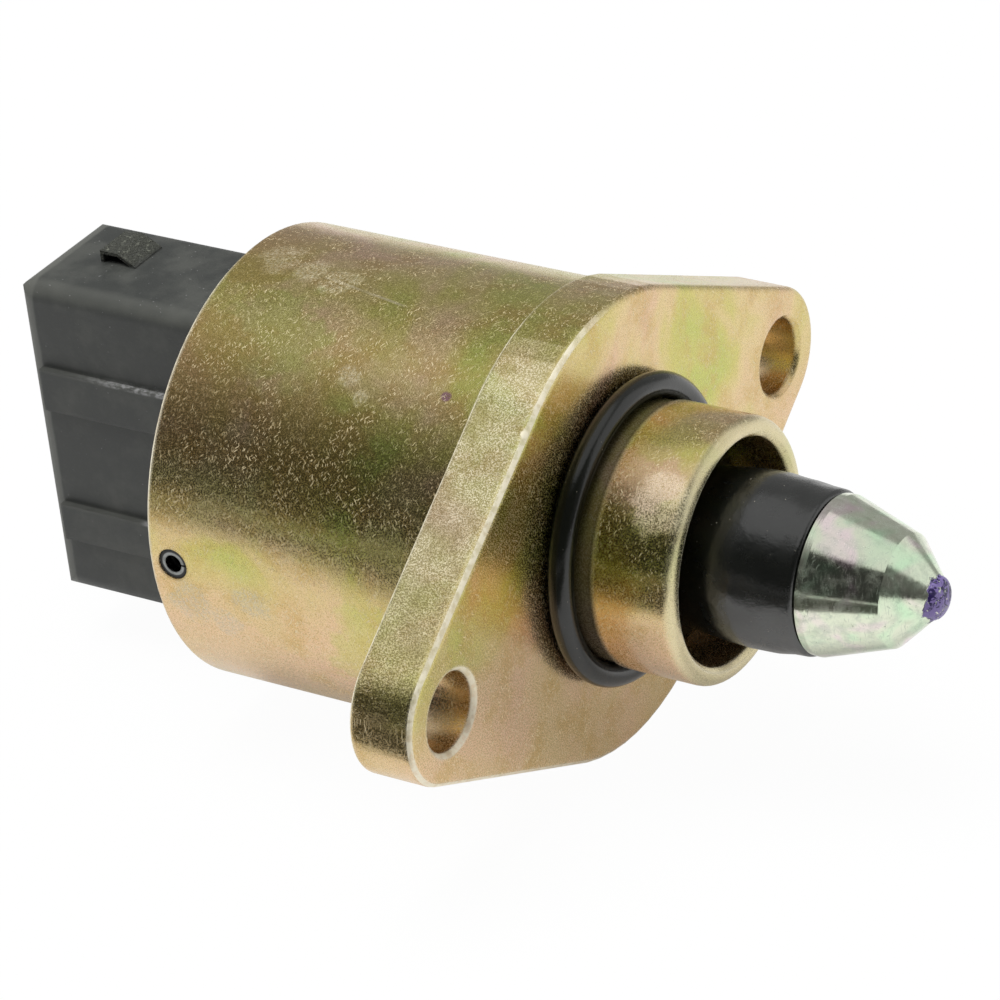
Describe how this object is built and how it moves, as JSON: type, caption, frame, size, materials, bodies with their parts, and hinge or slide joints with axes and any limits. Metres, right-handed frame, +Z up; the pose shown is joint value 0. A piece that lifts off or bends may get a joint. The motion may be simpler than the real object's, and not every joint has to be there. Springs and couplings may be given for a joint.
{
  "type": "idle air control valve",
  "caption": "Stepper-driven idle air control valve with a two-bolt flange, sealed nose, conical pintle, rubber boot and rectangular plug socket.",
  "frame": {"origin": "centre of the bolt pattern on the flange face that meets the intake, on the axis of the valve", "axes": "+X along the axis towards the pintle, +Z up with the latch side of the connector on top"},
  "size_m": [0.0691, 0.055, 0.033],
  "materials": {
    "yellow_zinc_steel": "yellow chromate over zinc, satin, finely scratched",
    "clear_zinc_steel": "bright clear zinc with a faint green and pink cast",
    "bright_steel": "ground",
    "pole_steel": "pressed sheet",
    "black_rubber": "moulded, soft sheen",
    "dark_plastic": "fine moulded texture",
    "pale_plastic": "moulded",
    "copper_wire": "enamelled wire, close wound",
    "bronze": "sintered",
    "tinned_copper": "tin plated",
    "ferrite": "bonded magnet"
  },
  "bodies": {
    "valve_body": {"housing": "yellow_zinc_steel", "nose_seal": "black_rubber", "boot": "black_rubber", "pintle_spring": "bright_steel", "shaft_guide": "pale_plastic", "bearing_outer_ring": "bright_steel", "rear_bush": "bronze", "thrust_washer": "pale_plastic", "rear_plate": "pole_steel", "front_cup": "pole_steel", "front_pole_plate": "pole_steel", "rear_pole_plate": "pole_steel", "rear_cup": "pole_steel", "front_bobbin": "pale_plastic", "rear_bobbin": "pale_plastic", "front_winding": "copper_wire", "rear_winding": "copper_wire", "rear_seal": "black_rubber", "connector": "dark_plastic", "terminal_1": "tinned_copper", "terminal_2": "tinned_copper", "terminal_3": "tinned_copper", "terminal_4": "tinned_copper", "spring_pin_near": "bright_steel", "spring_pin_far": "bright_steel"},
    "rotor": {"rotor_magnet": "ferrite", "rotor_nut": "pale_plastic", "bearing_inner_ring": "bright_steel"},
    "ball_set": {"bearing_balls": "bright_steel", "bearing_cage": "bronze"},
    "pintle": {"pintle_tip": "clear_zinc_steel", "lead_screw": "bright_steel"}
  },
  "joints": [
    {"name": "rotor_turn", "type": "hinge", "parent": "valve_body", "child": "rotor", "pos_m": [-0.012, 0, 0], "axis": [1, 0, 0], "range_deg": [0, 2880]},
    {"name": "ball_set_turn", "type": "hinge", "parent": "valve_body", "child": "ball_set", "pos_m": [-0.002, 0, 0], "axis": [1, 0, 0], "range_deg": [0, 1150]},
    {"name": "pintle_slide", "type": "slide", "parent": "valve_body", "child": "pintle", "axis": [1, 0, 0], "range_m": [-0.008, 0], "deforming": ["boot", "pintle_spring"]}
  ],
  "couplings": [
    {"joint": "ball_set_turn", "follows": "rotor_turn", "ratio": 0.399},
    {"joint": "pintle_slide", "follows": "rotor_turn", "m_per_rad": -0.00015915}
  ]
}
